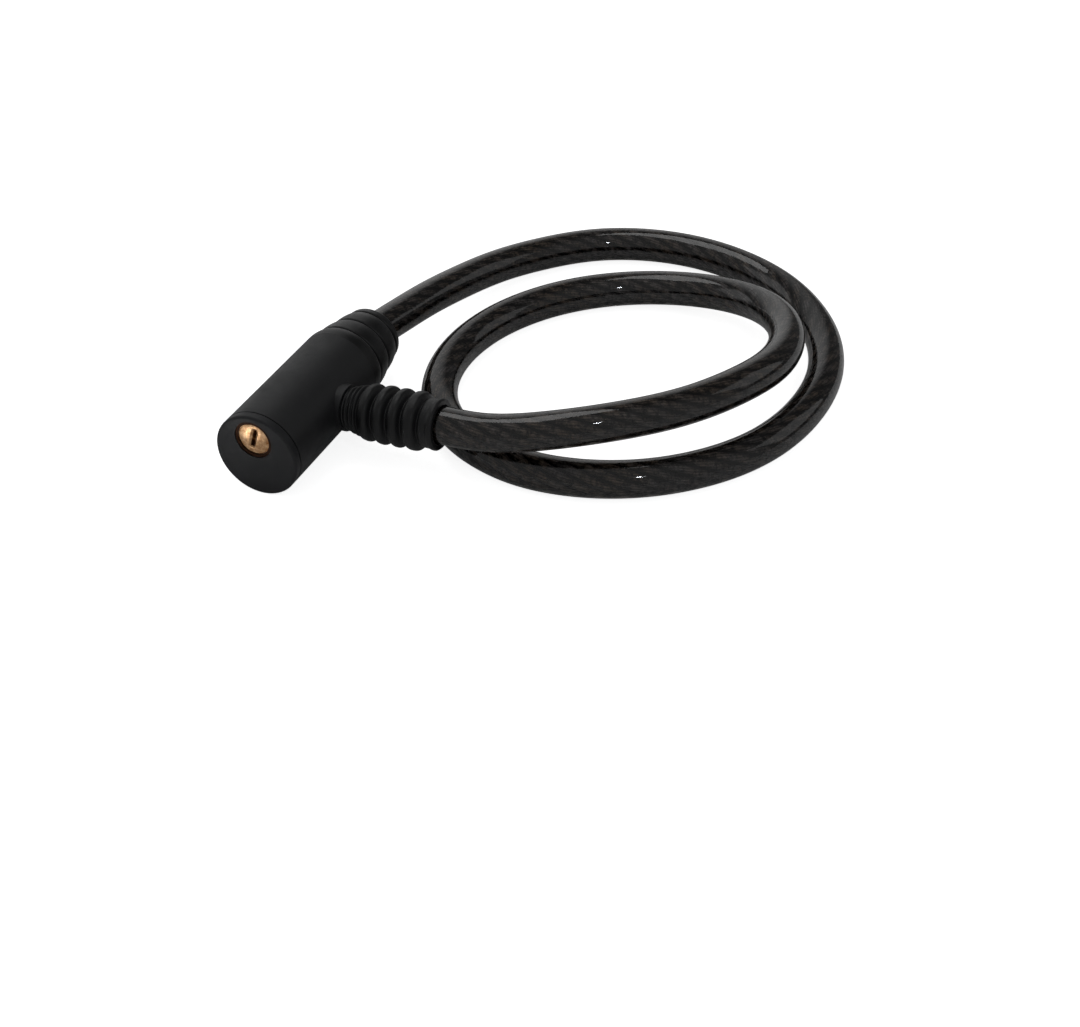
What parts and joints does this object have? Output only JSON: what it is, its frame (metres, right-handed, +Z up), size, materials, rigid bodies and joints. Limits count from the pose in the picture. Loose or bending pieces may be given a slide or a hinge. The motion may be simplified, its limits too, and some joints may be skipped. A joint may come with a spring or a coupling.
{
  "type": "cable lock",
  "caption": "Keyed barrel cable lock: ribbed locking plug in the barrel's side, coated steel cable coiled loosely from its tail to the plug.",
  "frame": {"origin": "centre of the lock head's base on the ground: the head is the barrel with its plug, without the cable", "axes": "+Y along the barrel from the key face to the tail, +X towards the plug's cable end, +Z up"},
  "size_m": [0.1645, 0.1925, 0.0292],
  "materials": {
    "soft_black": "fine matte grain",
    "cap_black": "satin",
    "boot_black": "satin, moulded ribs",
    "smoke_vinyl": "clear smoke grey, glossy",
    "rope_steel": "twisted bright wires",
    "die_cast": "as cast",
    "core_brass": "brushed, warm",
    "shell_brass": "darkened",
    "wafer_brass": "stamped",
    "hard_steel": "plated",
    "spring_steel": "drawn wire",
    "seal_rubber": "smooth"
  },
  "bodies": {
    "lock_body": {"end_cap": "cap_black", "outer_sleeve": "soft_black", "lock_housing": "die_cast", "tail_boot": "boot_black", "cylinder_shell": "shell_brass", "shell_pin": "hard_steel", "latch_cover": "die_cast", "latch_spring": "spring_steel", "tail_ferrule": "hard_steel", "ferrule_pin": "hard_steel", "cable_jacket": "smoke_vinyl", "wire_rope": "rope_steel"},
    "latch": {"latch_bolt": "hard_steel"},
    "core": {"key_core": "core_brass", "tail_cam": "hard_steel", "cam_screw": "hard_steel", "wafer_springs": "spring_steel"},
    "wafer_body_1": {"wafer_1": "wafer_brass"},
    "wafer_body_2": {"wafer_2": "wafer_brass"},
    "wafer_body_3": {"wafer_3": "wafer_brass"},
    "wafer_body_4": {"wafer_4": "wafer_brass"},
    "wafer_body_5": {"wafer_5": "wafer_brass"},
    "plug": {"plug_pin": "hard_steel", "plug_seal": "seal_rubber", "plug_boot": "boot_black"}
  },
  "joints": [
    {"name": "key_turn", "type": "hinge", "parent": "lock_body", "child": "core", "pos_m": [-0.01713, -0.0379, 0.01979], "axis": [0, 1, 0], "range_deg": [-90, 0]},
    {"name": "latch_slide", "type": "slide", "parent": "lock_body", "child": "latch", "axis": [-0.0698, 0, 0.9976], "range_m": [0, 0.002], "deforming": ["latch_spring"]},
    {"name": "wafer_1_lift", "type": "slide", "parent": "core", "child": "wafer_body_1", "axis": [0.2588, 0, 0.9659], "range_m": [0, 0.0007], "deforming": ["wafer_springs"]},
    {"name": "wafer_2_lift", "type": "slide", "parent": "core", "child": "wafer_body_2", "axis": [0.2588, 0, 0.9659], "range_m": [0, 0.0007], "deforming": ["wafer_springs"]},
    {"name": "wafer_3_lift", "type": "slide", "parent": "core", "child": "wafer_body_3", "axis": [0.2588, 0, 0.9659], "range_m": [0, 0.0007], "deforming": ["wafer_springs"]},
    {"name": "wafer_4_lift", "type": "slide", "parent": "core", "child": "wafer_body_4", "axis": [0.2588, 0, 0.9659], "range_m": [0, 0.0007], "deforming": ["wafer_springs"]},
    {"name": "wafer_5_lift", "type": "slide", "parent": "core", "child": "wafer_body_5", "axis": [0.2588, 0, 0.9659], "range_m": [0, 0.0007], "deforming": ["wafer_springs"]},
    {"name": "plug_slide", "type": "slide", "parent": "lock_body", "child": "plug", "axis": [0.9976, 0, 0.0698], "range_m": [0, 0.032], "deforming": ["cable_jacket", "wire_rope"]}
  ],
  "couplings": [
    {"joint": "latch_slide", "follows": "key_turn", "m_per_rad": -0.001273}
  ]
}
